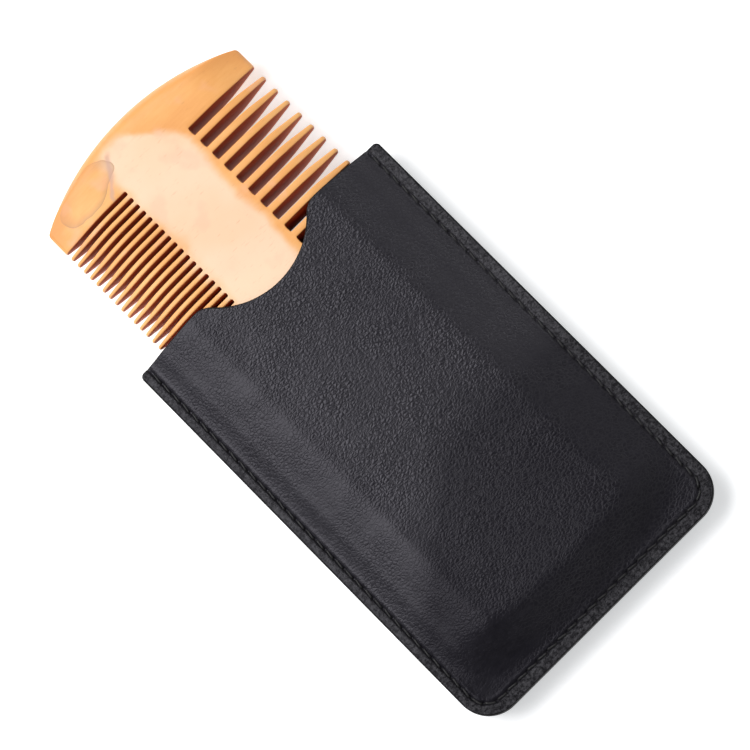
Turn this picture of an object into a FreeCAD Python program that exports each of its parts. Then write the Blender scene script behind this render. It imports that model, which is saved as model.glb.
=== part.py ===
import FreeCAD, Part
import math
import os
from FreeCAD import Vector

# A two-sided wooden beard comb standing half out of its stitched leather sleeve.
# +Z up, the sleeve lying on its back on Z = 0; the comb slides out along +Y; coarse teeth at +X.
# The origin is under the middle of the whole object, at its lowest face. Millimetres.

# Comb
comb_length = 100.0
comb_width = 60.0
comb_thickness = 10.0
arch_rise = 7.6            # how far each arched end stands past its corners
corner_radius = 1.2        # plan corners between an arch and the straight sides
crown_drop = 0.3           # how much lower the shoulders are than the middle of a face
crown_radius = 300.0
bevel_run = 9.75           # width of the bevel that thins each row of teeth
shoulder_radius = 20.0     # where a face turns into the bevel
tip_thickness = 2.0        # comb thickness at the tooth tips
tip_edge_radius = 0.8
rim_depth = 3.6            # rounding of the arched ends, measured along the comb
rim_flat = 1.6             # thickness left flat on the arched rim
spine_height = 13.2        # least solid wood from an arch's crest to the first gap

# Teeth: each row has its own pitch, gap between teeth, root and tip
coarse_pitch = 3.92
coarse_gap = 2.2
coarse_root = 9.5          # distance of the gap roots from the comb's centre line
coarse_tip = 1.0           # tooth width at the tip
coarse_taper = 8.0         # length over which a tooth narrows
fine_pitch = 2.05
fine_gap = 1.0
fine_root = 10.4
fine_tip = 0.7
fine_taper = 6.0
root_radius = 0.25
tip_rounding = 0.45        # plan radius of a tooth's end, as a share of its width there
tip_land = 0.1             # width left between two gaps past the teeth's ends

# Sleeve
leather_thickness = 1.0
lining_thickness = 0.4
clearance = 0.35           # between the comb and the lining, over the whole travel
side_room = 3.9            # from the tooth tips to the edge of the pocket
end_room = 8.4             # from the end of a comb pushed home to the bottom of the pocket
pocket_to_stitch = 0.5
right_margin = 3.1         # from the stitch line to the cut edge
left_margin = 2.5          # the seam runs closer to the edge on this side
bottom_margin = 3.1
seam_drop = 1.1            # how far the seam lies below the comb's middle plane
ramp_start = 2.6           # where the pocket starts to close, before the end of a comb pushed home
bottom_corner_radius = 8.0
mouth_corner_radius = 1.2
fold_radius = 3.0          # outer leather where it turns over the comb
crease_radius = 1.0        # where it turns into the seam
notch_depth = 8.4
notch_radius = 20.0
notch_shoulder_radius = 5.5

# Stitches
stitch_pitch = 3.1
stitch_start = 1.7         # from the mouth edge to the first hole
thread_radius = 0.25
thread_gap = 0.03          # between the thread and the floor of its groove
hole_radius = 0.36
leg_radius = 0.30
groove_width = 1.0
groove_depth = 0.35

# Position of the comb at rest
comb_out = 45.2            # how far its crest stands out of the mouth

# Derived sizes
stack = leather_thickness + lining_thickness
comb_mid_z = stack + clearance + comb_thickness / 2
seam_z = comb_mid_z - seam_drop
pocket_x = comb_width / 2 + side_room
right_stitch_x = pocket_x + pocket_to_stitch
edge_x = right_stitch_x + right_margin
left_stitch_x = left_margin - edge_x
pocket_depth = comb_length + end_room
sleeve_length = pocket_depth + pocket_to_stitch + bottom_margin
bottom_y = -(sleeve_length + comb_out) / 2
mouth_y = bottom_y + sleeve_length
pocket_y = mouth_y - pocket_depth
stitch_y = pocket_y - pocket_to_stitch
comb_y = mouth_y + comb_out - comb_length / 2
shoulder_x = comb_width / 2 - bevel_run
tall = 4 * comb_thickness  # height of the prisms that trim the sleeve
overshoot = 2.0            # how far a cutter reaches past what it cuts


def turn_between(a, b, c):
    """Angle by which a path turns at b, and the unit vectors into and out of b."""
    into = (b - a).normalize()
    out = (c - b).normalize()
    return into.getAngle(out), into, out


def rounded_path(points, radii, closed=False):
    """A wire through points, each corner rounded to its radius by a tangent arc (0 leaves it sharp)."""
    count = len(points)
    ends = []
    for i in range(count):
        corner = points[i]
        if radii[i] == 0 or (not closed and i in (0, count - 1)):
            ends.append((corner, None, corner))
            continue
        angle, into, out = turn_between(points[i - 1], corner, points[(i + 1) % count])
        run = radii[i] * math.tan(angle / 2)
        bulge = radii[i] / math.cos(angle / 2) - radii[i]
        inward = (out - into).normalize()
        ends.append((corner - into * run, corner + inward * bulge, corner + out * run))
    edges = []
    for i in range(count):
        start, crest, end = ends[i]
        if crest is not None:
            edges.append(Part.Arc(start, crest, end).toShape())
        following = ends[(i + 1) % count][0]
        if (closed or i < count - 1) and end.distanceToPoint(following) > 1e-6:
            edges.append(Part.LineSegment(end, following).toShape())
    return Part.Wire(edges)


def offset_points(points, distance):
    """The corners of an upright path moved sideways by distance, to the left of its direction."""
    across = (points[-1] - points[0]).cross(Vector(0, 0, 1)).normalize()
    lefts = [across.cross(b - a).normalize() for a, b in zip(points, points[1:])]
    moved = [points[0] + lefts[0] * distance]
    for corner, before, after in zip(points[1:], lefts, lefts[1:]):
        moved.append(corner + (before + after) * (distance / (1 + before.dot(after))))
    moved.append(points[-1] + lefts[-1] * distance)
    return moved


def prism(wire, along):
    """The solid swept by a closed wire's face moved along a vector."""
    return Part.Face(wire).extrude(along)


def comb_section():
    """Corners and radii of the upper half of the comb's cross-section, from tip to tip."""
    half = comb_thickness / 2
    return [
        (comb_width / 2, tip_thickness / 2, tip_edge_radius),
        (shoulder_x, half - crown_drop, shoulder_radius),
        (0.0, half, crown_radius),
        (-shoulder_x, half - crown_drop, shoulder_radius),
        (-comb_width / 2, tip_thickness / 2, tip_edge_radius),
    ]


def comb_bar():
    """The cross-section swept along the comb's length."""
    upper = comb_section()
    corners = upper + [(-x, -z, r) for x, z, r in upper]
    points = [Vector(x, -comb_length / 2, z) for x, z, r in corners]
    return prism(rounded_path(points, [r for x, z, r in corners], closed=True), Vector(0, comb_length, 0))


def arch_radius():
    return (comb_width ** 2 / 4 + arch_rise ** 2) / (2 * arch_rise)


def comb_outline():
    """The comb's plan, straight sides and arched ends, as a solid thicker than the comb."""
    x = comb_width / 2
    y = comb_length / 2
    corner = y - arch_rise
    z = -comb_thickness
    edges = [
        Part.LineSegment(Vector(x, -corner, z), Vector(x, corner, z)).toShape(),
        Part.Arc(Vector(x, corner, z), Vector(0, y, z), Vector(-x, corner, z)).toShape(),
        Part.LineSegment(Vector(-x, corner, z), Vector(-x, -corner, z)).toShape(),
        Part.Arc(Vector(-x, -corner, z), Vector(0, -y, z), Vector(x, -corner, z)).toShape(),
    ]
    solid = prism(Part.Wire(edges), Vector(0, 0, 2 * comb_thickness))
    return solid.makeFillet(corner_radius, upright_edges(solid))


def upright_edges(solid):
    """The edges of a prism that run along Z."""
    return [e for e in solid.Edges if abs(e.tangentAt(e.FirstParameter).z) > 0.99]


def rounded_end():
    """A disc with a rounded rim whose crest is the +Y arch, joined to a block over the rest of the comb."""
    radius = arch_radius()
    half = comb_thickness / 2
    inner = radius - rim_depth
    quarter = math.sqrt(0.5)
    bulge_x = inner + rim_depth * quarter
    bulge_z = rim_flat / 2 + (half - rim_flat / 2) * quarter
    hub_low = Vector(0, 0, -half)
    face_low = Vector(inner, 0, -half)
    rim_low = Vector(radius, 0, -rim_flat / 2)
    rim_high = Vector(radius, 0, rim_flat / 2)
    face_high = Vector(inner, 0, half)
    hub_high = Vector(0, 0, half)
    edges = [
        Part.LineSegment(hub_low, face_low).toShape(),
        Part.Arc(face_low, Vector(bulge_x, 0, -bulge_z), rim_low).toShape(),
        Part.LineSegment(rim_low, rim_high).toShape(),
        Part.Arc(rim_high, Vector(bulge_x, 0, bulge_z), face_high).toShape(),
        Part.LineSegment(face_high, hub_high).toShape(),
        Part.LineSegment(hub_high, hub_low).toShape(),
    ]
    disc = Part.Face(Part.Wire(edges)).revolve(Vector(0, 0, 0), Vector(0, 0, 1), 360)
    disc.translate(Vector(0, comb_length / 2 - radius, 0))
    block = Part.makeBox(
        2 * comb_width, comb_length, comb_thickness, Vector(-comb_width, -comb_length, -half)
    )
    return disc.fuse(block)


def gap_cutter(side, root, pitch, gap, tip, taper):
    """One gap between two teeth, centred on Y = 0, opening towards side (+1 or -1) in X."""
    x_tip = comb_width / 2
    mouth = (pitch - tip) / 2
    lip = (pitch - tip_land) / 2
    upper = [
        (root, gap / 2, root_radius),
        (x_tip - taper, gap / 2, 0),
        (x_tip, mouth, tip * tip_rounding),
        (x_tip, lip, 0),
        (x_tip + overshoot, lip, 0),
    ]
    outline = upper + [(x, -y, r) for x, y, r in reversed(upper)]
    points = [Vector(side * x, y, -comb_thickness) for x, y, r in outline]
    wire = rounded_path(points, [r for x, y, r in outline], closed=True)
    return prism(wire, Vector(0, 0, 2 * comb_thickness))


def row_of_gaps(side, root, pitch, gap, tip, taper):
    """Every gap of one row, as many as the spines leave room for, centred on the comb."""
    count = int((comb_length - 2 * spine_height - gap) / pitch) + 1
    cutter = gap_cutter(side, root, pitch, gap, tip, taper)
    row = []
    for i in range(count):
        one = cutter.copy()
        one.translate(Vector(0, (i - (count - 1) / 2) * pitch, 0))
        row.append(one)
    return row


def make_comb():
    end = rounded_end()
    other_end = end.copy()
    other_end.rotate(Vector(0, 0, 0), Vector(0, 0, 1), 180)
    blank = comb_bar().common(comb_outline()).common(end).common(other_end)
    gaps = row_of_gaps(1, coarse_root, coarse_pitch, coarse_gap, coarse_tip, coarse_taper)
    gaps += row_of_gaps(-1, fine_root, fine_pitch, fine_gap, fine_tip, fine_taper)
    comb = blank.cut(Part.makeCompound(gaps))
    comb.translate(Vector(0, comb_y, comb_mid_z))
    return comb


def pocket_section(side):
    """Corners and radii of a wall's inner face across the sleeve; side is +1 in front, -1 behind."""
    tip_x = comb_width / 2 + clearance
    tip_z = comb_mid_z + side * (tip_thickness / 2 + clearance)
    face_z = comb_mid_z + side * (comb_thickness / 2 + clearance)
    right = [
        (edge_x + 1, seam_z, 0),
        (pocket_x, seam_z, crease_radius),
        (tip_x, tip_z, crease_radius),
        (shoulder_x + clearance, face_z, fold_radius),
    ]
    return right + [(-x, z, r) for x, z, r in reversed(right)]


def pocket_profile(side):
    """Corners and radii of the same face along the sleeve, from its mouth to its bottom edge."""
    face_z = comb_mid_z + side * (comb_thickness / 2 + clearance)
    home_end = mouth_y - comb_length
    return [
        (mouth_y + 1, face_z, 0),
        (home_end + ramp_start, face_z, fold_radius),
        (pocket_y, seam_z, crease_radius),
        (bottom_y - 1, seam_z, 0),
    ]


def under(points, radii, side, distance, along):
    """The region between the seam's far side and a path moved by distance, swept along a vector."""
    moved = offset_points(points, side * distance) if distance else points
    far = seam_z - side
    closing = [Vector(moved[-1].x, moved[-1].y, far), Vector(moved[0].x, moved[0].y, far)]
    wire = rounded_path(moved + closing, radii + [0, 0], closed=True)
    return prism(wire, along)


def wall_region(side, distance):
    """Everything inside one wall's inner face moved outwards by distance."""
    across = pocket_section(side)
    lengthwise = pocket_profile(side)
    across_points = [Vector(x, bottom_y - overshoot, z) for x, z, r in across][::-1]
    lengthwise_points = [Vector(-edge_x - overshoot, y, z) for y, z, r in lengthwise][::-1]
    across_radii = grown([r for x, z, r in across][::-1], across_points, side, distance)
    lengthwise_radii = grown([r for y, z, r in lengthwise][::-1], lengthwise_points, side, distance)
    whole_length = Vector(0, sleeve_length + 2 * overshoot, 0)
    whole_width = Vector(2 * (edge_x + overshoot), 0, 0)
    cross = under(across_points, across_radii, side, distance, whole_length)
    lengthways = under(lengthwise_points, lengthwise_radii, side, distance, whole_width)
    return cross.common(lengthways)


def grown(radii, points, side, distance):
    """Corner radii after the path moves outwards: larger where it turns away, smaller where it turns in."""
    result = [radii[0]]
    for i in range(1, len(points) - 1):
        a, b, c = points[i - 1], points[i], points[i + 1]
        slope_in = (b.z - a.z) / ((b - a).x + (b - a).y)
        slope_out = (c.z - b.z) / ((c - b).x + (c - b).y)
        away = side * (slope_in - slope_out) > 0
        result.append(radii[i] + distance if away else max(radii[i] - distance, 0.2))
    result.append(radii[-1])
    return result


def sleeve_outline():
    """The cut shape of both panels as a tall solid."""
    low = -1.0
    points = [
        Vector(-edge_x, bottom_y, low),
        Vector(edge_x, bottom_y, low),
        Vector(edge_x, mouth_y, low),
        Vector(-edge_x, mouth_y, low),
    ]
    radii = [bottom_corner_radius, bottom_corner_radius, mouth_corner_radius, mouth_corner_radius]
    return prism(rounded_path(points, radii, closed=True), Vector(0, 0, tall))


def thumb_notch():
    """The round bite out of the front's mouth edge, with its two soft shoulders."""
    centre_y = mouth_y - notch_depth + notch_radius
    reach = notch_radius + notch_shoulder_radius
    drop = centre_y - mouth_y + notch_shoulder_radius
    shoulder = math.sqrt(reach ** 2 - drop ** 2)
    low = -1.0
    side_points = []
    for side in (1, -1):
        middle = Vector(side * shoulder, mouth_y - notch_shoulder_radius, low)
        towards = (Vector(0, centre_y, low) - middle).normalize()
        touch = middle + towards * notch_shoulder_radius
        between = (towards + Vector(0, 1, 0)).normalize()
        crest = middle + between * notch_shoulder_radius
        side_points.append((Vector(side * shoulder, mouth_y, low), crest, touch))
    right, left = side_points
    floor = Vector(0, mouth_y - notch_depth, low)
    above = mouth_y + notch_radius
    edges = [
        Part.Arc(*right).toShape(),
        Part.Arc(right[2], floor, left[2]).toShape(),
        Part.Arc(left[2], left[1], left[0]).toShape(),
        Part.LineSegment(left[0], Vector(-shoulder, above, low)).toShape(),
        Part.LineSegment(Vector(-shoulder, above, low), Vector(shoulder, above, low)).toShape(),
        Part.LineSegment(Vector(shoulder, above, low), right[0]).toShape(),
    ]
    return prism(Part.Wire(edges), Vector(0, 0, tall))


def stitch_line(z):
    """The seam as a wire: down one side, round the bottom, up the other."""
    inner = bottom_corner_radius - bottom_margin
    top = mouth_y - stitch_start
    points = [
        Vector(left_stitch_x, top, z),
        Vector(left_stitch_x, stitch_y, z),
        Vector(right_stitch_x, stitch_y, z),
        Vector(right_stitch_x, top, z),
    ]
    return rounded_path(points, [0, inner, inner, 0])


def stitch_holes():
    """Hole centres, evenly spaced along the seam."""
    line = stitch_line(seam_z)
    count = int(line.Length / stitch_pitch + 0.5) + 1
    return line.discretize(count)


def hole_punches(holes):
    punch = [
        Part.makeCylinder(hole_radius, 4 * stack, Vector(p.x, p.y, seam_z - 2 * stack)) for p in holes
    ]
    return Part.makeCompound(punch)


def groove(side):
    """The sunken channel that one thread lies in, on the face of the margin."""
    floor_z = seam_z + side * (stack - groove_depth)
    line = stitch_line(min(floor_z, floor_z + side * stack))
    ring = line.makeOffset2D(groove_width / 2, fill=True, openResult=False)
    return ring.extrude(Vector(0, 0, stack))


def make_thread(side, holes):
    """One thread of the lockstitch: a bar between each pair of holes and a leg down each hole."""
    axis_z = seam_z + side * (stack - groove_depth + thread_gap + thread_radius)
    outer_z = axis_z + side * (thread_radius + thread_gap)
    inner_z = seam_z + side * thread_gap
    low_z = min(outer_z, inner_z)
    height = abs(outer_z - inner_z)
    pieces = [Part.makeCylinder(leg_radius, height, Vector(p.x, p.y, low_z)) for p in holes]
    for p, q in zip(holes, holes[1:]):
        along = (q - p).normalize()
        start = Vector(p.x, p.y, axis_z) + along * (leg_radius / 3)
        length = p.distanceToPoint(q) - 2 * leg_radius / 3
        pieces.append(Part.makeCylinder(thread_radius, length, start, along))
    return pieces[0].multiFuse(pieces[1:])


def make_sleeve():
    """Panels and linings as layers between the same wall moved outwards step by step."""
    outline = sleeve_outline()
    notch = thumb_notch()
    holes = stitch_holes()
    punches = hole_punches(holes)
    parts = {}
    for name, side in (("front", 1), ("back", -1)):
        inner = wall_region(side, 0)
        middle = wall_region(side, lining_thickness)
        outer = wall_region(side, stack)
        lining = middle.cut(inner).common(outline).cut(punches)
        panel = outer.cut(middle).common(outline).cut(punches).cut(groove(side))
        if side > 0:
            lining = lining.cut(notch)
            panel = panel.cut(notch)
        parts[name + "_lining"] = lining
        parts[name + "_panel"] = panel
    parts["needle_thread"] = make_thread(1, holes)
    parts["bobbin_thread"] = make_thread(-1, holes)
    return parts


def main():
    os.makedirs("parts", exist_ok=True)
    parts = make_sleeve()
    parts["comb"] = make_comb()
    for name, shape in parts.items():
        shape.exportStep(os.path.join("parts", name + ".step"))
        print(name, len(shape.Solids), "solid(s), valid", shape.isValid(), "volume %.1f" % shape.Volume)
        box = shape.BoundBox
        print("  x %.2f %.2f" % (box.XMin, box.XMax), "y %.2f %.2f" % (box.YMin, box.YMax),
              "z %.2f %.2f" % (box.ZMin, box.ZMax))


main()
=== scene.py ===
import math

import bpy
import numpy as np
from mathutils import Matrix, Vector


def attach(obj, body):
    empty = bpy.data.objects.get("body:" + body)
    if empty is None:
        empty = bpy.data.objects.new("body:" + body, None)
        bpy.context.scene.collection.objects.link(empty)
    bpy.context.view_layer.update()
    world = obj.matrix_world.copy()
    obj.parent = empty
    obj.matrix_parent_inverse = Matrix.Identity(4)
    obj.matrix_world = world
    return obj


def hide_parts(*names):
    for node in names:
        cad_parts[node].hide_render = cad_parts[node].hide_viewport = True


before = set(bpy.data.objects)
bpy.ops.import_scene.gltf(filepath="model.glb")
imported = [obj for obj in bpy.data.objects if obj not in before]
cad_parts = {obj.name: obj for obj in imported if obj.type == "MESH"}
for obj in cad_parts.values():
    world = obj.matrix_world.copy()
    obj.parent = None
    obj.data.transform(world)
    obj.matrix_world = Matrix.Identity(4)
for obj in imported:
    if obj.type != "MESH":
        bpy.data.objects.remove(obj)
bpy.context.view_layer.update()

# The looks of a wooden beard comb in a sewn leather sleeve. Shapes are in millimetres until a mesh is
# made; materials and lights are in metres.

MM = 0.001

# Comb
COMB_Y = 28.6            # its middle along the sleeve
MID_Z = 6.75             # its middle plane
HALF_LENGTH = 50.0
HALF_WIDTH = 30.0
ARCH_RADIUS = 63.01
CORNER_RADIUS = 1.2
CROWN = 4.967            # half thickness along the middle
SHOULDER_X = 20.25       # where a face turns into the bevel
SHOULDER_DROP = 0.3      # how much lower the face is there
SHOULDER_BLEND = 1.39    # how softly face and bevel meet
BEVEL_SLOPE = 0.3795
TIP_HALF = 1.0           # half thickness at the tooth tips
TIP_EDGE = 0.8           # rounding of the tips
RIM_DEPTH = 3.6          # rounding of the arched ends
RIM_HALF = 0.8           # half thickness left at the rim
RIM_RISE = 4.2           # from the rim up to the face
EDGE = 0.24              # rounding of the sawn edges of the gaps
ROOT_CORNER = 0.3

# Each row of teeth: gap root from the middle, pitch, gap, tip width, taper length, number of gaps
COARSE_TEETH = (9.5, 3.92, 2.2, 1.0, 8.0, 19)
FINE_TEETH = (10.4, 2.05, 1.0, 0.7, 6.0, 36)

# Sleeve
EDGE_X = 37.5
BOTTOM_Y = -78.6
MOUTH_Y = 33.4
SLEEVE_LENGTH = 112.0
BOTTOM_CORNER = 8.0
MOUTH_CORNER = 1.2
NOTCH_DEPTH = 8.4
NOTCH_RADIUS = 20.0
NOTCH_SIDE = 14.84       # where the notch turns into its shoulder
NOTCH_SHOULDER = 5.5     # radius of the shoulder
NOTCH_OUTER = 18.92      # where the shoulder meets the straight mouth edge
MARGIN_TOP = 7.05
MARGIN_UNDER = 4.25
SEAM_Z = 5.65
LEATHER = 1.0
LINING = 0.4
STITCH_LEFT = -35.0
STITCH_RIGHT = 34.4
STITCH_BOTTOM = -75.5
STITCH_TOP = 31.7
STITCH_CORNER = 4.9
STITCH_PITCH = 3.1
GROOVE_DEPTH = 0.26
THREAD_RADIUS = 0.22
THREAD_LIFT = 0.08       # the thread's middle above the floor of the groove
CUT_ROUNDING = 0.32      # rounding of the leather's cut edges
PAINTED_STRIP = 0.40     # how far the edge paint reaches onto the front
HIDDEN_END = -21.4       # where the comb at rest ends inside the sleeve


# ---------- shapes ----------

def monotone(points):
    """A smooth curve through (x, y) points that never overshoots them."""
    px, py = (np.array(v, float) for v in zip(*sorted(points)))
    step = np.diff(px)
    rise = np.diff(py) / step
    slope = np.zeros(len(px))
    for i in range(1, len(px) - 1):
        if rise[i - 1] * rise[i] > 0:
            slope[i] = 2 * rise[i - 1] * rise[i] / (rise[i - 1] + rise[i])

    def curve(x):
        x = np.clip(x, px[0], px[-1])
        i = np.clip(np.searchsorted(px, x) - 1, 0, len(step) - 1)
        t = (x - px[i]) / step[i]
        h = step[i]
        return (
            py[i] * (1 + 2 * t) * (1 - t) ** 2 + py[i + 1] * t * t * (3 - 2 * t)
            + slope[i] * h * t * (1 - t) ** 2 + slope[i + 1] * h * t * t * (t - 1)
        )

    return curve


def noise(x, y, cell, seed):
    """Smooth lattice noise between about -1 and 1, with bumps the size of a cell."""
    table = np.random.default_rng(seed).uniform(-1, 1, (256, 256))
    u, v = x / cell, y / cell
    i, j = np.floor(u).astype(int), np.floor(v).astype(int)
    u, v = u - i, v - j
    u, v = u * u * (3 - 2 * u), v * v * (3 - 2 * v)
    near = table[i % 256, j % 256] * (1 - u) + table[(i + 1) % 256, j % 256] * u
    far = table[i % 256, (j + 1) % 256] * (1 - u) + table[(i + 1) % 256, (j + 1) % 256] * u
    return near * (1 - v) + far * v


def soft_min(a, b, width):
    """The lower of two values, blended over a width where they meet."""
    t = np.clip(0.5 + 0.5 * (b - a) / width, 0, 1)
    return b * (1 - t) + a * t - width * t * (1 - t)


def smooth(t):
    """0 to 1 with level ends."""
    t = np.clip(t, 0, 1)
    return t * t * (3 - 2 * t)


def bell(d, width):
    """1 at distance 0, falling off over a width."""
    return np.exp(-(d / width) ** 2)


def make_mesh(name, verts, faces, materials, slots=None):
    """A smooth-shaded object from millimetre vertices; slots gives each face's material."""
    mesh = bpy.data.meshes.new(name)
    mesh.from_pydata((np.asarray(verts) * MM).tolist(), [], faces)
    for m in materials:
        mesh.materials.append(m)
    if slots is not None:
        mesh.polygons.foreach_set("material_index", slots)
    mesh.polygons.foreach_set("use_smooth", [True] * len(mesh.polygons))
    obj = bpy.data.objects.new(name, mesh)
    bpy.context.scene.collection.objects.link(obj)
    return obj


# ---------- the comb ----------

def half_section(x):
    """Half the comb's thickness across its width."""
    x = np.abs(x)
    crown = CROWN - SHOULDER_DROP * (x / SHOULDER_X) ** 2
    bevel = TIP_HALF + (HALF_WIDTH - x) * BEVEL_SLOPE
    tip = np.clip(x - (HALF_WIDTH - TIP_EDGE), 0, TIP_EDGE)
    rounding = TIP_EDGE - np.sqrt(np.maximum(TIP_EDGE ** 2 - tip ** 2, 0))
    return soft_min(crown, bevel, SHOULDER_BLEND) - rounding


def arch_y(x):
    """Plan of the arched end, with its corner rounded, above the comb's middle."""
    x = np.abs(x)
    arch_centre = HALF_LENGTH - ARCH_RADIUS
    arch = arch_centre + np.sqrt(ARCH_RADIUS ** 2 - x ** 2)
    cx = HALF_WIDTH - CORNER_RADIUS
    cy = arch_centre + math.sqrt((ARCH_RADIUS - CORNER_RADIUS) ** 2 - cx ** 2)
    corner = cy + np.sqrt(np.clip(CORNER_RADIUS ** 2 - np.clip(x - cx, 0, None) ** 2, 0, None))
    touch = cx * ARCH_RADIUS / (ARCH_RADIUS - CORNER_RADIUS)
    return np.where(x > touch, corner, arch)


def rim_height(x, y):
    """Half thickness that the rounded rim allows at a distance from the arched end."""
    reach = ARCH_RADIUS - np.hypot(x, np.abs(y) - (HALF_LENGTH - ARCH_RADIUS))
    reach = np.minimum(reach, (arch_y(x) - np.abs(y)) * 0.9)
    back = 1 - np.clip(reach / RIM_DEPTH, 0, 1)
    return RIM_HALF + RIM_RISE * np.sqrt(1 - back ** 2)


def comb_half(side, root, pitch, gap, tip, taper, count):
    """Grid over one half of the comb's face: x, y, z, and the rows and columns of cells that are gaps."""
    w_tip, w_root = tip / 2, (pitch - gap) / 2
    end_radius = tip * 0.45
    rounding = EDGE * (1 - np.cos(np.radians([0, 30, 60, 90])))
    xs = np.unique(np.round(np.concatenate([
        np.linspace(0.5, root - 0.6, 6), root - rounding,
        root + ROOT_CORNER * (1 - np.cos(np.radians([30, 60, 90]))),
        np.linspace(root + 0.9, HALF_WIDTH - 1.1, 13),
        HALF_WIDTH - TIP_EDGE + TIP_EDGE * np.sin(np.radians([0, 25, 45, 62, 76, 90])),
    ]), 4))

    def tooth(x):
        """Half a tooth's width at a distance from the comb's middle."""
        w = w_root + (w_tip - w_root) * np.clip((x - (HALF_WIDTH - taper)) / taper, 0, 1)
        end = np.clip(x - (HALF_WIDTH - end_radius), 0, end_radius)
        w = w - (end_radius - np.sqrt(end_radius ** 2 - end ** 2))
        corner = np.clip(root + ROOT_CORNER - x, 0, ROOT_CORNER)
        return w + (ROOT_CORNER - np.sqrt(ROOT_CORNER ** 2 - corner ** 2))

    w = tooth(xs)
    g = pitch / 2 - w
    centres = (np.arange(count) - (count - 1) / 2) * pitch
    shrink = np.minimum(1, w / (1.3 * EDGE))
    first = centres[0] - g
    rows, opens = [], []
    ends = np.array([0, .02, .08, .2, .38, .62, .95, 1.4, 2, 2.7, 3.6, 5, 7, 9.5, 12]) / 13.2
    arch = -arch_y(xs)
    for u in ends:
        rows.append(arch + (first - EDGE - arch) * u)
        opens.append(False)
    inner = np.linspace(-1, 1, 5)[1:-1] if gap > 1.5 else [0.0]
    for i, centre in enumerate(centres):
        for d in rounding[::-1]:
            rows.append(centre - g - d * shrink)
            opens.append(False)
        opens[-1] = True
        for t in inner:
            rows.append(centre + g * t)
            opens.append(True)
        for d in rounding:
            rows.append(centre + g + d * shrink)
            opens.append(False)
        if i < count - 1:
            rows.append(np.full_like(xs, centre + pitch / 2))
            opens.append(False)
    last = centres[-1] + g
    arch = arch_y(xs)
    for u in ends[::-1]:
        rows.append(arch + (last + EDGE - arch) * u)
        opens.append(False)
    y = np.array(rows)
    x = np.broadcast_to(xs, y.shape)
    nearest = centres[np.clip(np.round((y - centres[0]) / pitch).astype(int), 0, count - 1)]
    qx = root + ROOT_CORNER - x
    qy = np.abs(y - nearest) - (g - ROOT_CORNER)
    outward = np.hypot(np.clip(qx, 0, None), np.clip(qy, 0, None))
    inward = np.minimum(np.maximum(qx, qy), 0)
    d = outward + inward - ROOT_CORNER
    d = np.where(x > root + ROOT_CORNER, np.abs(y - nearest) - g, d)
    back = EDGE - np.clip(d, 0, EDGE)
    z = soft_min(half_section(x), rim_height(x, y), 0.25) - (EDGE - np.sqrt(EDGE ** 2 - back ** 2))
    z = np.maximum(z, 0.1)
    open_cols = xs[:-1] > root - 1e-3
    return x * side, y, z, np.array(opens), open_cols


def make_comb(face_material, shaded_cut_material):
    """The comb: both halves of its upper face, the mirror of it below, and walls between them."""
    halves = [comb_half(1, *COARSE_TEETH), comb_half(-1, *FINE_TEETH)]
    verts, faces, inner = [], [], []
    for side, (x, y, z, opens, open_cols) in zip((1, -1), halves):
        base = len(verts)
        rows, cols = x.shape
        verts += np.stack([x, y, z], -1).reshape(-1, 3).tolist()
        inner.append([base + r * cols for r in range(rows)])
        for r in range(rows - 1):
            for c in range(cols - 1):
                if opens[r] and open_cols[c]:
                    continue
                a = base + r * cols + c
                quad = (a, a + 1, a + cols + 1, a + cols)
                faces.append(quad if side > 0 else quad[::-1])
    right, left = inner
    i = j = 0
    while i < len(right) - 1 or j < len(left) - 1:
        next_right = verts[right[i + 1]][1] if i < len(right) - 1 else 1e9
        next_left = verts[left[j + 1]][1] if j < len(left) - 1 else 1e9
        if next_right <= next_left:
            faces.append((left[j], right[i], right[i + 1]))
            i += 1
        else:
            faces.append((left[j], right[i], left[j + 1]))
            j += 1
    used = sorted({v for f in faces for v in f})
    renumber = {v: k for k, v in enumerate(used)}
    top = np.array([verts[v] for v in used])
    faces = [tuple(renumber[v] for v in f) for f in faces]
    count = len(top)
    edges = {}
    for f in faces:
        for a, b in zip(f, f[1:] + f[:1]):
            if (b, a) in edges:
                del edges[(b, a)]
            else:
                edges[(a, b)] = True
    slots = [0] * (2 * len(faces))
    lower = [tuple(v + count for v in f[::-1]) for f in faces]
    walls = []
    for a, b in edges:
        walls.append((b, a, a + count, b + count))
        outer = [
            abs(top[v][0]) > HALF_WIDTH - 0.25 or abs(top[v][1]) > arch_y(top[v][0]) - 0.01
            for v in (a, b)
        ]
        slots.append(0 if all(outer) else 1)
    under = top * [1, 1, -1]
    all_verts = np.concatenate([top, under]) + [0, COMB_Y, MID_Z]
    return make_mesh("comb_wood", all_verts, faces + lower + walls, [face_material, shaded_cut_material], slots)


# ---------- the sleeve ----------

# How high the sleeve bulges: its share across the comb, and millimetres along the front and the back
across_comb = monotone([
    (0, 1), (5, .997), (10, .985), (15, .964), (20, .934), (21.5, .892), (25, .697), (28, .494),
    (30, .364), (32, .196), (33.5, .080), (34.6, .012), (35.3, 0), (40, 0),
])
along_front = monotone([
    (40, 6.42), (33.4, 6.42), (20, 6.41), (0, 6.41), (-17, 6.40), (-20, 6.36), (-24, 6.26),
    (-32, 6.22), (-50, 6.21), (-60, 6.21), (-63.4, 6.20), (-65.2, 5.94), (-67, 5.10), (-70, 2.95),
    (-73, .90), (-75.2, .08), (-76.5, 0), (-80, 0),
])
along_back = monotone([
    (40, 4.25), (-58, 4.25), (-64, 4.1), (-68, 2.7), (-72, .9), (-75, 0), (-80, 0),
])


def bottom_edge(x):
    over = np.clip(np.abs(x) - (EDGE_X - BOTTOM_CORNER), 0, BOTTOM_CORNER)
    return BOTTOM_Y + BOTTOM_CORNER - np.sqrt(BOTTOM_CORNER ** 2 - over ** 2)


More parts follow.
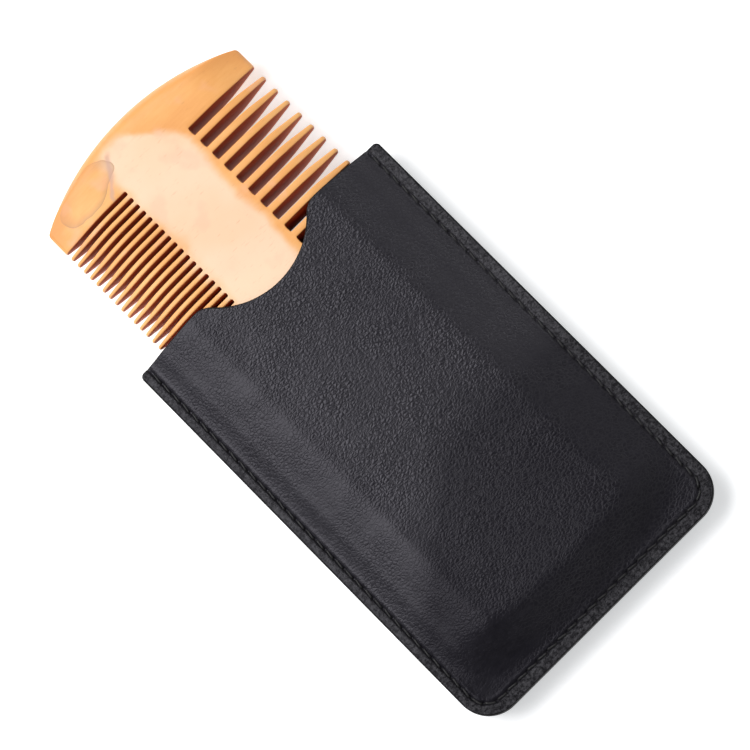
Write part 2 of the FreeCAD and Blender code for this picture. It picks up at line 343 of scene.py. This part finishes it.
def mouth_edge(x):
    over = np.clip(np.abs(x) - (EDGE_X - MOUTH_CORNER), 0, MOUTH_CORNER)
    return MOUTH_Y - MOUTH_CORNER + np.sqrt(MOUTH_CORNER ** 2 - over ** 2)


def notched_edge(x):
    """The front's mouth edge, with the round notch and its shoulders."""
    a = np.abs(x)
    round_bite = np.sqrt(np.clip(NOTCH_RADIUS ** 2 - a ** 2, 0, None))
    bite = MOUTH_Y - NOTCH_DEPTH + NOTCH_RADIUS - round_bite
    round_shoulder = np.sqrt(np.clip(NOTCH_SHOULDER ** 2 - (a - NOTCH_OUTER) ** 2, 0, None))
    shoulder = MOUTH_Y - NOTCH_SHOULDER + round_shoulder
    return np.where(a < NOTCH_SIDE, bite, np.where(a < NOTCH_OUTER, shoulder, mouth_edge(x)))


def seam_distance(x, y):
    """Distance to the stitch line (positive towards the pocket), length along it, and its whole length."""
    left = x - STITCH_LEFT
    right = STITCH_RIGHT - x
    low = y - STITCH_BOTTOM
    side = np.minimum(left, right)
    c = STITCH_CORNER
    inside = np.minimum(side, low)
    corner = (side < c) & (low < c)
    d = np.where(corner, c - np.hypot(c - side, c - low), inside)
    straight = STITCH_TOP - (STITCH_BOTTOM + c)
    arc = c * math.pi / 2
    turn = np.arctan2(c - low, c - side) * c
    on_left = left <= right
    width = STITCH_RIGHT - STITCH_LEFT
    down_side = STITCH_TOP - y
    along_bottom = straight + arc + np.where(on_left, left - c, right - c)
    u = np.where(corner, straight + turn, np.where(side <= low, down_side, along_bottom))
    total = 2 * straight + 2 * arc + (width - 2 * c)
    return d, np.where(on_left, u, total - u), total


SEAM_LENGTH = float(seam_distance(np.zeros(1), np.zeros(1))[2])
STITCHES = int(SEAM_LENGTH / STITCH_PITCH + 0.5)


def front_surface(x, y):
    """The front without its grain; its slope at the closed end is arched as the comb's end is."""
    arched = smooth((-50 - y) / 10) * 4.2 * (x / 30) ** 2
    return MARGIN_TOP + along_front(y - arched) * across_comb(np.abs(x))


def back_surface(x, y):
    """The back without its grain."""
    return MARGIN_UNDER - along_back(y) * across_comb(np.abs(x))


def leather_detail(x, y, edge_distance, seed):
    """Height above the plain surface: groove, holes, puckers, rough margin, creases and unevenness."""
    d, u, total = seam_distance(x, y)
    pitch = total / STITCHES
    phase = u / pitch
    wave = np.cos(2 * math.pi * phase)
    on_seam = (u > -0.4) & (u < total + 0.4) & (y < STITCH_TOP + 0.4)
    inside = np.clip(d, 0, None)
    outside = np.clip(-d, 0, None)
    z = -GROOVE_DEPTH * bell(d, 0.42)
    z += 0.05 * bell(d - 0.85, 0.4) * (1 - 0.9 * wave)
    z += 0.02 * bell(outside - 0.8, 0.3) * (d < 0) * (1 - 0.8 * wave)
    hole = np.hypot((phase - np.round(phase)) * pitch, d)
    z -= np.where(on_seam, 0.46 * bell(hole, 0.44), 0)
    pucker = np.hypot((phase - np.round(phase)) * pitch, d - 0.85)
    z += np.where(on_seam, 0.12 * bell(pucker, 0.30), 0)
    margin = smooth(outside / 0.5)
    z -= 0.05 * margin * outside
    z += margin * (0.03 * noise(u, d * 2, 0.9, seed + 5) + 0.03 * noise(x, y, 0.6, seed + 6))
    calm = smooth(inside / 2.5)
    z += calm * (
        0.05 * noise(x, y, 17, seed) + 0.028 * noise(x + 0.4 * y, y, 7, seed + 1)
        + 0.014 * noise(x - 0.3 * y, y * 1.4, 3.1, seed + 2)
    )
    vein = np.abs(noise(x * 0.8 + 0.5 * y, y - 0.2 * x, 2.3, seed + 3))
    z -= calm * 0.018 * bell(vein, 0.08)
    crease = np.abs(noise(x * 0.35 + 3, y * 1.1, 5.5, seed + 4))
    z -= calm * 0.025 * bell(crease, 0.05)
    rim = np.clip(CUT_ROUNDING - edge_distance, 0, CUT_ROUNDING)
    z -= CUT_ROUNDING - np.sqrt(CUT_ROUNDING ** 2 - rim ** 2)
    return z


def grid_columns(spacing, fine):
    """x of a panel's columns, close together in both margins."""
    mid = np.arange(-32.5, 32.51, spacing)
    side = np.concatenate([np.arange(32.7, 37.3, fine), [37.3, 37.42, 37.48, 37.5]])
    return np.concatenate([-side[::-1], mid, side])


def panel_grid(top_edge, spacing, fine):
    """x, y of a panel's points and their distance from the cut edge."""
    xs = grid_columns(spacing, fine)
    low, high = bottom_edge(xs), top_edge(xs)
    low_strip, high_strip = 5.5, 1.2
    start = np.concatenate([[0, .04, .12, .24], np.arange(.42, low_strip, fine)])
    finish = np.array([0, .05, .14, .28, .5, .9])
    count = int((SLEEVE_LENGTH - 6.4) / spacing)
    between = np.linspace(0, 1, count + 2)[1:-1]
    rows = [low + s for s in start]
    a, b = low + low_strip, high - high_strip
    rows += [a + (b - a) * t for t in between]
    rows += [high - s for s in finish[::-1]]
    y = np.array(rows).T
    x = np.broadcast_to(xs[:, None], y.shape)
    from_low = (y - low[:, None]) / np.hypot(1, np.gradient(low, xs))[:, None]
    from_high = (high[:, None] - y) / np.hypot(1, np.gradient(high, xs))[:, None]
    edge = np.minimum(from_low, from_high)
    edge = np.minimum(edge, EDGE_X - np.abs(x))
    return x, y, np.clip(edge, 0, None)


def slab(name, x, y, top, bottom, materials, edge=None):
    """A closed sheet between two height grids. Its rim takes the last material, and so does the
    outermost strip of its top where edge gives the distances from the cut edge."""
    nx, ny = x.shape
    upper = np.stack([x, y, top], -1).reshape(-1, 3)
    lower = np.stack([x, y, bottom], -1).reshape(-1, 3)
    index = np.arange(nx * ny).reshape(nx, ny)
    quads = np.stack([index[:-1, :-1], index[1:, :-1], index[1:, 1:], index[:-1, 1:]], -1).reshape(-1, 4)
    count = nx * ny
    ring = np.concatenate([index[:, 0], index[-1, 1:], index[-2::-1, -1], index[0, -2:0:-1]])
    after = np.roll(ring, -1)
    rim = np.stack([ring, ring + count, after + count, after], -1)
    faces = np.concatenate([quads, quads[:, ::-1] + count, rim])
    slots = np.zeros(len(faces), int)
    slots[-len(rim):] = len(materials) - 1
    if edge is not None:
        near = edge.reshape(-1)[quads].max(1) < PAINTED_STRIP
        slots[:len(quads)][near] = len(materials) - 1
    return make_mesh(name, np.concatenate([upper, lower]), faces.tolist(), materials, slots.tolist())


def thickened(surface, x, y, thickness):
    """Vertical thickness that gives a sloping sheet its true thickness."""
    step = 0.2
    gx = (surface(x + step, y) - surface(x - step, y)) / (2 * step)
    gy = (surface(x, y + step) - surface(x, y - step)) / (2 * step)
    return thickness * np.minimum(np.sqrt(1 + gx ** 2 + gy ** 2), 1.5)


def make_front(leather, paint):
    x, y, edge = panel_grid(notched_edge, 0.5, 0.2)
    plain = front_surface(x, y)
    top = plain + leather_detail(x, y, edge, 11)
    bottom = plain - thickened(front_surface, x, y, LEATHER)
    bottom = np.maximum(bottom, SEAM_Z + LINING)
    return mark_margin(slab("front_leather", x, y, top, bottom, [leather, paint], edge), x, y)


def mark_margin(obj, x, y):
    """Marks how far each point lies in the strip outside the stitches, for the material."""
    strip = smooth((-seam_distance(x, y)[0] - 0.15) / 0.5).reshape(-1)
    layer = obj.data.attributes.new("margin", "FLOAT", "POINT")
    layer.data.foreach_set("value", np.concatenate([strip, strip]))
    return obj


def make_back(leather, paint):
    x, y, edge = panel_grid(mouth_edge, 0.6, 0.25)
    plain = back_surface(x, y)
    detail = leather_detail(x, y, edge, 47)
    bottom = np.maximum(plain - detail, 0.0)
    top = plain + thickened(back_surface, x, y, LEATHER)
    top = np.minimum(top, SEAM_Z - LINING)
    return mark_margin(slab("back_leather", x, y, top, bottom, [leather, paint]), x, y)


def make_lining(name, surface, edge_curve, side, fabric):
    """The lining inside a panel; side is 1 for the front and -1 for the back."""
    x, y, _ = panel_grid(edge_curve, 1.2, 0.6)
    plain = surface(x, y)
    skin = plain - side * thickened(surface, x, y, LEATHER)
    inner = skin - side * thickened(surface, x, y, LINING)
    if side > 0:
        skin, inner = np.maximum(skin, SEAM_Z + LINING), np.maximum(inner, SEAM_Z)
        return slab(name, x, y, skin - 0.002, inner, [fabric])
    skin, inner = np.minimum(skin, SEAM_Z - LINING), np.minimum(inner, SEAM_Z)
    return slab(name, x, y, inner, skin + 0.002, [fabric])


def seam_point(u):
    """Point and direction of the stitch line at a length along it, down the left side first."""
    c = STITCH_CORNER
    straight = STITCH_TOP - (STITCH_BOTTOM + c)
    arc = c * math.pi / 2
    bottom = STITCH_RIGHT - STITCH_LEFT - 2 * c
    if u < straight:
        return (STITCH_LEFT, STITCH_TOP - u), (0, -1)
    u -= straight
    if u < arc:
        a = u / c
        place = (STITCH_LEFT + c - c * math.cos(a), STITCH_BOTTOM + c - c * math.sin(a))
        return place, (math.sin(a), -math.cos(a))
    u -= arc
    if u < bottom:
        return (STITCH_LEFT + c + u, STITCH_BOTTOM), (1, 0)
    u -= bottom
    if u < arc:
        a = u / c
        place = (STITCH_RIGHT - c + c * math.sin(a), STITCH_BOTTOM + c - c * math.cos(a))
        return place, (math.cos(a), math.sin(a))
    u -= arc
    return (STITCH_RIGHT, STITCH_BOTTOM + c + u), (0, 1)


def make_thread(name, side, material):
    """A twisted thread whose stitches lean a little and dip into each hole."""
    pitch = SEAM_LENGTH / STITCHES
    if side > 0:
        base = MARGIN_TOP - GROOVE_DEPTH + THREAD_LIFT
    else:
        base = MARGIN_UNDER + GROOVE_DEPTH - THREAD_LIFT
    rng = np.random.default_rng(5 if side > 0 else 6)
    lean = rng.normal(0.24, 0.05, STITCHES)
    lift = rng.normal(0, 0.02, STITCHES)
    places = np.array([0, .05, .1, .15, .2, .28, .38, .5, .62, .72, .8, .85, .9, .95])
    ring = 12
    verts, faces = [], []
    for i in range(STITCHES):
        for t in places:
            (px, py), (tx, ty) = seam_point((i + t) * pitch)
            sag = bell(min(t, 1 - t) * pitch, 0.34)
            arch = 0.07 * math.sin(math.pi * t)
            offset = lean[i] * (1 - 2 * t) * (1 - sag)
            cx, cy = px - ty * offset, py + tx * offset
            cz = base + side * (arch + lift[i] * (1 - sag) - 0.75 * sag)
            s = (i + t) * pitch
            for k in range(ring):
                a = 2 * math.pi * k / ring
                r = THREAD_RADIUS * (1 + 0.09 * math.cos(3 * a - 5.2 * s))
                verts.append((
                    cx - ty * r * 1.1 * math.cos(a),
                    cy + tx * r * 1.1 * math.cos(a),
                    cz + r * math.sin(a),
                ))
    rows = STITCHES * len(places)
    for i in range(rows - 1):
        for k in range(ring):
            a, b = i * ring + k, i * ring + (k + 1) % ring
            faces.append((a, b, b + ring, a + ring))
    faces.append(tuple(range(ring))[::-1])
    faces.append(tuple((rows - 1) * ring + k for k in range(ring)))
    return make_mesh(name, verts, faces, [material])


# ---------- materials ----------

class Finish:
    """A node material whose parts are added one at a time."""

    def __init__(self, name):
        self.material = bpy.data.materials.new(name)
        self.material.use_nodes = True
        self.tree = self.material.node_tree
        self.shader = self.tree.nodes["Principled BSDF"]
        self.place = self.add("ShaderNodeTexCoord").outputs["Object"]

    def put(self, node, values):
        """Sets a node's inputs, or links them where the value is another node's output."""
        for key, value in values.items():
            if isinstance(value, bpy.types.NodeSocket):
                self.tree.links.new(value, node.inputs[key])
            else:
                node.inputs[key].default_value = value

    def add(self, kind, values=None, **settings):
        node = self.tree.nodes.new(kind)
        for key, value in settings.items():
            setattr(node, key, value)
        self.put(node, values or {})
        return node

    def surface(self, **values):
        self.put(self.shader, {key.replace("_", " "): value for key, value in values.items()})

    def scaled(self, x, y, z, source=None):
        values = {"Vector": source or self.place, "Scale": (x, y, z)}
        return self.add("ShaderNodeMapping", values).outputs["Vector"]

    def noise(self, scale, source=None, detail=2.0, roughness=0.5, output="Fac"):
        values = {
            "Vector": source or self.place, "Scale": scale, "Detail": detail, "Roughness": roughness,
        }
        return self.add("ShaderNodeTexNoise", values).outputs[output]

    def cell_edges(self, scale, source):
        """Distance to the nearest border between random cells."""
        node = self.add(
            "ShaderNodeTexVoronoi", {"Vector": source, "Scale": scale}, feature="DISTANCE_TO_EDGE"
        )
        return node.outputs["Distance"]

    def math(self, operation, *values):
        node = self.add("ShaderNodeMath", operation=operation)
        self.put(node, dict(enumerate(values)))
        return node.outputs[0]

    def vector(self, operation, values, output=0):
        return self.add("ShaderNodeVectorMath", values, operation=operation).outputs[output]

    def shaken(self, source, scale, amount):
        """Positions moved about by a soft noise, so that what is drawn with them wavers."""
        noise = self.noise(scale, source, output="Color")
        move = self.vector("SUBTRACT", {0: noise, 1: (0.5, 0.5, 0.5)})
        move = self.vector("SCALE", {0: move, "Scale": amount})
        return self.vector("ADD", {0: source, 1: move})

    def between(self, value, start, end):
        """0 at start rising smoothly to 1 at end."""
        values = {"Value": value, "From Min": start, "From Max": end}
        node = self.add("ShaderNodeMapRange", values, interpolation_type="SMOOTHSTEP")
        return node.outputs["Result"]

    def ramp(self, value, *stops):
        """A colour looked up between (position, colour) stops."""
        node = self.add("ShaderNodeValToRGB", {"Fac": value})
        elements = node.color_ramp.elements
        while len(elements) < len(stops):
            elements.new(0.5)
        for element, (position, colour) in zip(elements, stops):
            element.position = position
            element.color = (*colour, 1)
        return node.outputs["Color"]

    def grey(self, value, *stops):
        return self.ramp(value, *[(position, (level,) * 3) for position, level in stops])

    def mix(self, amount, a, b):
        node = self.add("ShaderNodeMix", data_type="RGBA")
        colours = [s for s in node.inputs if s.type == "RGBA"]
        for socket, value in ((node.inputs[0], amount), (colours[0], a), (colours[1], b)):
            if isinstance(value, bpy.types.NodeSocket):
                self.tree.links.new(value, socket)
            else:
                socket.default_value = value if not isinstance(value, tuple) else (*value, 1)
        return [s for s in node.outputs if s.type == "RGBA"][0]

    def bump(self, height, distance, strength=1.0):
        values = {"Height": height, "Distance": distance, "Strength": strength}
        return self.add("ShaderNodeBump", values).outputs["Normal"]


def leather_finish():
    """Grained black leather: calmer at -X, less glossy past the comb's hidden end and at -X, and
    rubbed grey in the margin outside the stitches; the lighter colour of its creases is a painted
    highlight."""
    f = Finish("sleeve_leather")
    closed_end = -0.066      # where the front starts to slope down to the closed end
    bent = f.shaken(f.scaled(0.85, 1.25, 1.0), 1100, 0.0007)
    creases = f.grey(f.cell_edges(1120, bent), (0.0, 0.0), (0.14, 0.55), (0.45, 1.0))
    wrinkle = f.noise(620, f.scaled(0.7, 1.4, 1.0), detail=3, roughness=0.65)
    patches = f.grey(f.noise(95, detail=1), (0.35, 0.45), (0.62, 1.0))
    axes = f.add("ShaderNodeSeparateXYZ", {"Vector": f.place})
    relaxed = f.grey(f.between(axes.outputs["X"], -0.026, -0.006), (0, 0.50), (1, 1.1))
    creases = f.math("SUBTRACT", 1.0, f.math("MULTIPLY", f.math("SUBTRACT", 1.0, creases), relaxed))
    height = f.math("ADD", f.math("MULTIPLY", creases, patches), f.math("MULTIPLY", wrinkle, 0.50))
    margin = f.add("ShaderNodeAttribute", attribute_name="margin").outputs["Fac"]
    rubbed = f.noise(1500, detail=3, roughness=0.7)
    height = f.math("ADD", height, f.math("MULTIPLY", f.math("MULTIPLY", rubbed, margin), 4.2))
    colour = f.ramp(wrinkle, (0.3, (0.0065, 0.0060, 0.0085)), (0.7, (0.0115, 0.0108, 0.0145)))
    worn = f.ramp(rubbed, (0.40, (0.006, 0.0058, 0.007)), (0.64, (0.052, 0.051, 0.056)))
    rough = f.math("ADD", f.math("MULTIPLY", margin, 0.16), 0.30)
    slant = f.math("MULTIPLY", f.math("MINIMUM", axes.outputs["X"], 0.0), -0.8)
    along = f.math("ADD", axes.outputs["Y"], slant)
    taut = f.grey(f.between(axes.outputs["X"], -0.021, -0.015), (0, 0.74), (1, 1))
    over_comb = f.between(along, closed_end, HIDDEN_END * MM + 0.004)
    polish = f.grey(over_comb, (0, 0.34), (0.5, 0.41), (0.84, 0.46), (1, 0.97))
    shine = f.grey(creases, (0.0, 0.34), (0.5, 0.70))
    # Painted highlight: the creases are coloured lighter, standing in for light caught on their walls.
    crease_highlight = f.mix(f.grey(creases, (0.06, 0.0), (0.34, 1.0)), (0.022, 0.0212, 0.025), colour)
    f.surface(
        Base_Color=f.mix(margin, crease_highlight, worn), Roughness=rough, Normal=f.bump(height, 0.000105),
        Specular_IOR_Level=f.math("MULTIPLY", f.math("MULTIPLY", polish, taut), shine),
        Specular_Tint=(0.93, 0.90, 1.0, 1),
    )
    return f.material


def paint_finish():
    f = Finish("edge_paint")
    streaks = f.noise(700, f.scaled(1, 1, 2.2), detail=3)
    f.surface(
        Base_Color=f.ramp(streaks, (0.3, (0.002, 0.002, 0.0025)), (0.7, (0.006, 0.006, 0.007))),
        Roughness=0.6, Normal=f.bump(streaks, 0.00006), IOR=1.3,
    )
    return f.material


def fabric_finish():
    f = Finish("sleeve_lining")
    wave = {"Vector": f.place, "Scale": 700.0, "Distortion": 0.6, "Detail": 1.0}
    warp = f.add("ShaderNodeTexWave", wave, bands_direction="X").outputs["Fac"]
    weft = f.add("ShaderNodeTexWave", wave, bands_direction="Y").outputs["Fac"]
    weave = f.math("MULTIPLY", warp, weft)
    f.surface(
        Base_Color=f.ramp(weave, (0.1, (0.006, 0.006, 0.006)), (0.9, (0.020, 0.019, 0.019))),
        Roughness=0.85, Normal=f.bump(weave, 0.00008), Sheen_Weight=0.15,
    )
    return f.material


def thread_finish():
    f = Finish("sewing_thread")
    fibre = f.noise(5200, detail=2)
    f.surface(
        Base_Color=f.ramp(fibre, (0.3, (0.006, 0.006, 0.007)), (0.75, (0.022, 0.021, 0.022))),
        Roughness=0.5, Normal=f.bump(fibre, 0.00003),
    )
    return f.material


def wood_finish(name, cut):
    """Pear-like wood, grain along the teeth, with some painted shade and highlight; the figure's places
    are those on the comb at rest.
    """
    f = Finish(name)
    grain = f.noise(1.0, f.scaled(210, 1500, 900), detail=3, roughness=0.6)
    cloud = f.noise(60, f.scaled(0.7, 1, 1), detail=2)
    tone = f.math("ADD", f.math("MULTIPLY", grain, 0.25), f.math("MULTIPLY", cloud, 0.75))
    if cut:
        # The gaps' sawn walls take a darker, redder wood: partly the wood's colour there, partly painted
        # shade of the narrow gaps.
        colour = f.ramp(tone, (0.3, (0.36, 0.07, 0.018)), (0.7, (0.52, 0.135, 0.042)))
        f.surface(Base_Color=colour, Roughness=0.6, Normal=f.bump(grain, 0.00003, 0.6), IOR=1.3)
        return f.material
    colour = f.ramp(
        tone, (0.35, (0.74, 0.325, 0.095)), (0.5, (0.79, 0.375, 0.12)), (0.65, (0.83, 0.43, 0.155)),
    )
    wavering = f.shaken(f.shaken(f.place, 65, 0.008), 300, 0.002)
    axes = f.add("ShaderNodeSeparateXYZ", {"Vector": wavering})
    slant = f.math("ADD", axes.outputs["Y"], f.math("MULTIPLY", axes.outputs["X"], 0.9))
    # Partly the wood's paler figure, partly a painted highlight: a pale patch over the flat middle of the
    # face, inside a slanted and wavering outline.
    left_side = f.between(axes.outputs["X"], -0.0122, -0.0076)
    right_side = f.between(axes.outputs["X"], 0.0088, 0.0060)
    pale_figure_and_highlight = f.math("MULTIPLY", left_side, right_side)
    pale_figure_and_highlight = f.math("MULTIPLY", pale_figure_and_highlight, f.between(slant, 0.0750, 0.0710))
    pale_figure_and_highlight = f.math("MULTIPLY", pale_figure_and_highlight, f.between(axes.outputs["Y"], 0.0765, 0.0730))
    pale_figure_and_highlight_colour = f.ramp(
        cloud, (0.35, (0.84, 0.55, 0.36)), (0.5, (0.86, 0.59, 0.41)), (0.65, (0.89, 0.62, 0.43)),
    )
    colour = f.mix(pale_figure_and_highlight, colour, pale_figure_and_highlight_colour)
    ring = f.add("ShaderNodeMapping", {
        "Vector": f.shaken(f.place, 130, 0.0045), "Location": (-0.0168, 0.0709, 0.0),
        "Rotation": (0, 0, math.radians(14)), "Scale": (0.0090, 0.0046, 1.0),
    }, vector_type="TEXTURE").outputs["Vector"]
    flat = f.vector("MULTIPLY", {0: ring, 1: (1, 1, 0)})
    radius = f.vector("LENGTH", {0: flat}, "Value")
    line = f.grey(radius, (0.60, 0.0), (0.94, 0.60), (1.0, 1.0), (1.07, 0.25), (1.30, 0.0))
    colour = f.mix(f.math("MULTIPLY", line, 0.75), colour, (0.36, 0.20, 0.10))
    streak = f.add("ShaderNodeMapping", {
        "Vector": f.shaken(f.place, 160, 0.004), "Location": (-0.0102, 0.0697, 0.0),
        "Rotation": (0, 0, math.radians(54)),
    }, vector_type="TEXTURE").outputs["Vector"]
    streak = f.add("ShaderNodeSeparateXYZ", {"Vector": streak})
    beside = f.between(f.math("ABSOLUTE", streak.outputs["Y"]), 0.0009, 0.0001)
    within = f.between(f.math("ABSOLUTE", streak.outputs["X"]), 0.0060, 0.0045)
    colour = f.mix(f.math("MULTIPLY", f.math("MULTIPLY", beside, within), 0.7), colour, (0.54, 0.33, 0.26))
    blush = f.between(f.noise(150, detail=2), 0.55, 0.72)
    colour = f.mix(f.math("MULTIPLY", blush, 0.35), colour, (0.84, 0.44, 0.30))
    # Painted shade: darker orange over the last few millimetres before the arched end, where the rim
    # rounds over.
    in_plan = f.vector("MULTIPLY", {0: f.shaken(f.place, 80, 0.004), 1: (1, 1, 0)})
    arch_centre = (0.0, (COMB_Y + HALF_LENGTH - ARCH_RADIUS) * MM, 0.0)
    from_arch = f.vector("DISTANCE", {0: in_plan, 1: arch_centre}, "Value")
    rim_shade = f.between(from_arch, 0.0575, 0.0625)
    colour = f.mix(f.math("MULTIPLY", rim_shade, 0.65), colour, (0.66, 0.27, 0.075))
    fleck = f.noise(1.0, f.scaled(500, 2600, 1500), detail=1)
    specks = f.grey(fleck, (0.66, 0.0), (0.78, 1.0))
    colour = f.mix(f.math("MULTIPLY", specks, 0.22), colour, (0.50, 0.20, 0.07))
    f.surface(Base_Color=colour, Roughness=0.36, Normal=f.bump(grain, 0.00002, 0.5), IOR=1.48)
    return f.material


# ---------- the assembly ----------

face_wood = wood_finish("wood_face", False)
shaded_cut_wood = wood_finish("wood_cut_shaded", True)
leather = leather_finish()
paint = paint_finish()
fabric = fabric_finish()
thread = thread_finish()

comb = make_comb(face_wood, shaded_cut_wood)
front = make_front(leather, paint)
back = make_back(leather, paint)
front_lining = make_lining("front_lining_cloth", front_surface, notched_edge, 1, fabric)
back_lining = make_lining("back_lining_cloth", back_surface, mouth_edge, -1, fabric)
needle = make_thread("needle_thread_sewn", 1, thread)
bobbin = make_thread("bobbin_thread_sewn", -1, thread)

for piece, body, node, slot in (
    (comb, "comb", "comb", "comb_wood"),
    (front, "sleeve", "front_panel", "sleeve_leather"),
    (back, "sleeve", "back_panel", "sleeve_leather"),
    (front_lining, "sleeve", "front_lining", "sleeve_lining"),
    (back_lining, "sleeve", "back_lining", "sleeve_lining"),
    (needle, "sleeve", "needle_thread", "sewing_thread"),
    (bobbin, "sleeve", "bobbin_thread", "sewing_thread"),
):
    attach(piece, body)
    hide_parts(node)


# ---------- stage ----------

def make_floor():
    reach, level = 3.0, -1e-5
    corners = [(-reach, -reach), (reach, -reach), (reach, reach), (-reach, reach)]
    mesh = bpy.data.meshes.new("floor")
    mesh.from_pydata([(x, y, level) for x, y in corners], [], [(0, 1, 2, 3)])
    floor = bpy.data.objects.new("floor", mesh)
    bpy.context.scene.collection.objects.link(floor)
    f = Finish("floor")
    f.surface(
        Base_Color=(0.80, 0.80, 0.81, 1), Roughness=0.9,
        Emission_Color=(0.97, 0.99, 1.0, 1), Emission_Strength=0.50,
    )
    mesh.materials.append(f.material)
    return floor


def make_light(name, place, target, size, power):
    data = bpy.data.lights.new(name, "AREA")
    data.shape = "RECTANGLE"
    data.size, data.size_y = size
    data.energy = power
    light = bpy.data.objects.new(name, data)
    light.location = place
    light.rotation_euler = (Vector(target) - Vector(place)).to_track_quat("-Z", "Y").to_euler()
    bpy.context.scene.collection.objects.link(light)
    return light


# The camera: degrees it leans towards -Y and +X and is turned off the diagonal, the point it looks at
# in millimetres, its distance in metres, and its lens on a 36 mm sensor
CAMERA_TILT = 10.70
CAMERA_SWING = 0.25
CAMERA_ROLL = 0.143
CAMERA_AIM = (0.22, -2.97, 0.0)
CAMERA_DISTANCE = 1.115
CAMERA_LENS = 238.35


def make_camera():
    """Above the comb, and turned so that the comb points to the upper left."""
    tilt, swing, roll = (math.radians(a) for a in (CAMERA_TILT, CAMERA_SWING, CAMERA_ROLL))
    upright = math.cos(swing)
    away = Vector((math.sin(swing), -math.sin(tilt) * upright, math.cos(tilt) * upright))
    aim = Vector(CAMERA_AIM) * MM
    right = (-away).cross(Vector((0, 1, 0))).normalized()
    up = right.cross(-away)
    turn = math.radians(45) - roll
    across = right * math.cos(turn) - up * math.sin(turn)
    upward = right * math.sin(turn) + up * math.cos(turn)
    data = bpy.data.cameras.new("camera")
    data.sensor_width = 36.0
    data.lens = CAMERA_LENS
    data.clip_start, data.clip_end = 0.01, 10.0
    camera = bpy.data.objects.new("camera", data)
    bpy.context.scene.collection.objects.link(camera)
    frame_axes = Matrix((across, upward, away)).transposed().to_4x4()
    camera.matrix_world = Matrix.Translation(aim + away * CAMERA_DISTANCE) @ frame_axes
    bpy.context.scene.camera = camera


def make_studio():
    """Soft white light from all round: dim overhead, brighter towards the walls and most at +X."""
    world = bpy.data.worlds.new("studio")
    world.use_nodes = True
    tree = world.node_tree

    def add(kind, **values):
        node = tree.nodes.new(kind)
        for key, value in values.items():
            key = key.replace("_", " ")
            if isinstance(value, bpy.types.NodeSocket):
                tree.links.new(value, node.inputs[key])
            else:
                node.inputs[key].default_value = value
        return node

    axes = add("ShaderNodeSeparateXYZ", Vector=tree.nodes.new("ShaderNodeTexCoord").outputs["Generated"])
    walls = add(
        "ShaderNodeMapRange", Value=axes.outputs["Z"],
        From_Min=0.97, From_Max=0.72, To_Min=0.11, To_Max=0.24,
    )
    right = add(
        "ShaderNodeMapRange", Value=axes.outputs["X"],
        From_Min=0.25, From_Max=0.75, To_Min=0.0, To_Max=0.34,
    )
    total = tree.nodes.new("ShaderNodeMath")
    tree.links.new(walls.outputs["Result"], total.inputs[0])
    tree.links.new(right.outputs["Result"], total.inputs[1])
    tree.links.new(total.outputs[0], tree.nodes["Background"].inputs["Strength"])
    tree.nodes["Background"].inputs["Color"].default_value = (1.0, 1.0, 1.0, 1)
    return world


floor = make_floor()
softbox = make_light("softbox", (-0.40, 0.51, 0.80), (-0.09, 0.14, 0.0), (1.22, 0.90), 8.3)
key = make_light("key", (-0.50, 0.70, 1.10), (0.0, 0.0, 0.0), (1.0, 0.8), 13.5)
key.visible_glossy = False
bpy.context.scene.world = make_studio()
bpy.context.scene.view_settings.view_transform = "Standard"
make_camera()
